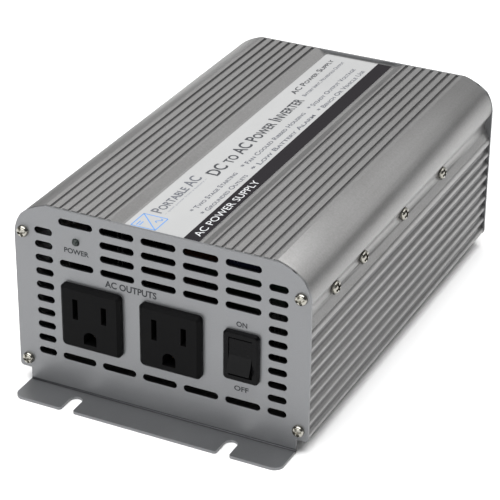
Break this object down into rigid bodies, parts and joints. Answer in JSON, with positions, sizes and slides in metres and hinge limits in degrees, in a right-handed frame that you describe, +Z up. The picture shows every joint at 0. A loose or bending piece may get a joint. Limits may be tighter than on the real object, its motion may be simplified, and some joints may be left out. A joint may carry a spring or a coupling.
{
  "type": "power inverter",
  "caption": "Ribbed aluminium DC-to-AC power inverter with sheet metal end panels on bolt-down feet, grounded outlets, a rocker switch, a power lamp, a cooling fan and battery studs.",
  "frame": {"origin": "centre of the footprint, feet to battery studs, on the surface that the feet stand on", "axes": "+X along the front panel to the right seen from the front, +Y from the front panel towards the rear panel, +Z up"},
  "size_m": [0.1274, 0.232, 0.0814],
  "materials": {
    "case_metal": "satin brushed anodised extrusion",
    "panel_metal": "satin grey paint",
    "plate_metal": "mill finish sheet",
    "screw_metal": "zinc plated, slightly yellow",
    "label_film": "silver printed film with a dark stripe",
    "black_plastic": "black moulded",
    "gloss_black_plastic": "black moulded, low gloss",
    "red_plastic": "red moulded",
    "brass": "plain",
    "spring_steel": "plain",
    "lamp_lens": "dark green lens",
    "board_laminate": "green solder mask",
    "insulation": "off-white sheet",
    "ferrite": "sintered ferrite",
    "winding": "enamelled copper wire and tape",
    "can_sleeve": "dark shrink sleeve",
    "fuse_plastic": "translucent blue, moulded",
    "wire_sleeve": "PVC insulation"
  },
  "bodies": {
    "inverter_body": {"alarm_buzzer": "black_plastic", "battery_leads": "wire_sleeve", "board_screws": "screw_metal", "board_standoffs": "brass", "bottom_plate": "plate_metal", "bus_capacitor": "can_sleeve", "control_board": "board_laminate", "control_chips": "black_plastic", "control_wires": "wire_sleeve", "fan_bearing": "spring_steel", "fan_frame": "black_plastic", "fan_screws": "screw_metal", "fan_stator": "winding", "front_panel": "panel_metal", "fuse_holders": "black_plastic", "fuses": "fuse_plastic", "ground_screw": "screw_metal", "heat_spreader_left": "plate_metal", "heat_spreader_right": "plate_metal", "inductor_core": "ferrite", "inductor_winding": "winding", "input_capacitors": "can_sleeve", "insulating_pads": "insulation", "insulating_sheet": "insulation", "lamp_holder": "black_plastic", "main_board": "board_laminate", "name_label": "label_film", "negative_terminal_base": "gloss_black_plastic", "outlet_left_ground_contact": "brass", "outlet_left_housing": "black_plastic", "outlet_left_line_contact": "brass", "outlet_left_neutral_contact": "brass", "outlet_right_ground_contact": "brass", "outlet_right_housing": "black_plastic", "outlet_right_line_contact": "brass", "outlet_right_neutral_contact": "brass", "outlet_wires": "wire_sleeve", "panel_screws": "screw_metal", "plate_screws": "screw_metal", "positive_terminal_base": "red_plastic", "power_lamp": "lamp_lens", "rear_panel": "panel_metal", "ribbed_case": "case_metal", "side_screws": "screw_metal", "switch_housing": "gloss_black_plastic", "switch_terminals": "brass", "terminal_insulators": "black_plastic", "terminal_nuts_and_washers": "screw_metal", "terminal_studs": "brass", "transformer_left_core": "ferrite", "transformer_left_winding": "winding", "transformer_right_core": "ferrite", "transformer_right_winding": "winding", "transistor_screws": "screw_metal", "transistors": "black_plastic"},
    "rocker": {"switch_rocker": "gloss_black_plastic", "switch_spring": "spring_steel", "switch_plunger": "black_plastic"},
    "seesaw": {"switch_seesaw": "brass"},
    "fan_wheel": {"fan_rotor": "black_plastic"}
  },
  "joints": [
    {"name": "rocker_tilt", "type": "hinge", "parent": "inverter_body", "child": "rocker", "pos_m": [0.0357, -0.1005, 0.0371], "axis": [1, 0, 0], "range_deg": [0, 22]},
    {"name": "seesaw_tilt", "type": "hinge", "parent": "inverter_body", "child": "seesaw", "pos_m": [0.0357, -0.0925, 0.0371], "axis": [1, 0, 0], "range_deg": [-12, 0]},
    {"name": "fan_spin", "type": "hinge", "parent": "inverter_body", "child": "fan_wheel", "pos_m": [-0.024, 0.08, 0.0442], "axis": [0, 1, 0], "continuous": true}
  ],
  "couplings": [
    {"joint": "seesaw_tilt", "follows": "rocker_tilt", "ratio": -0.54546}
  ]
}
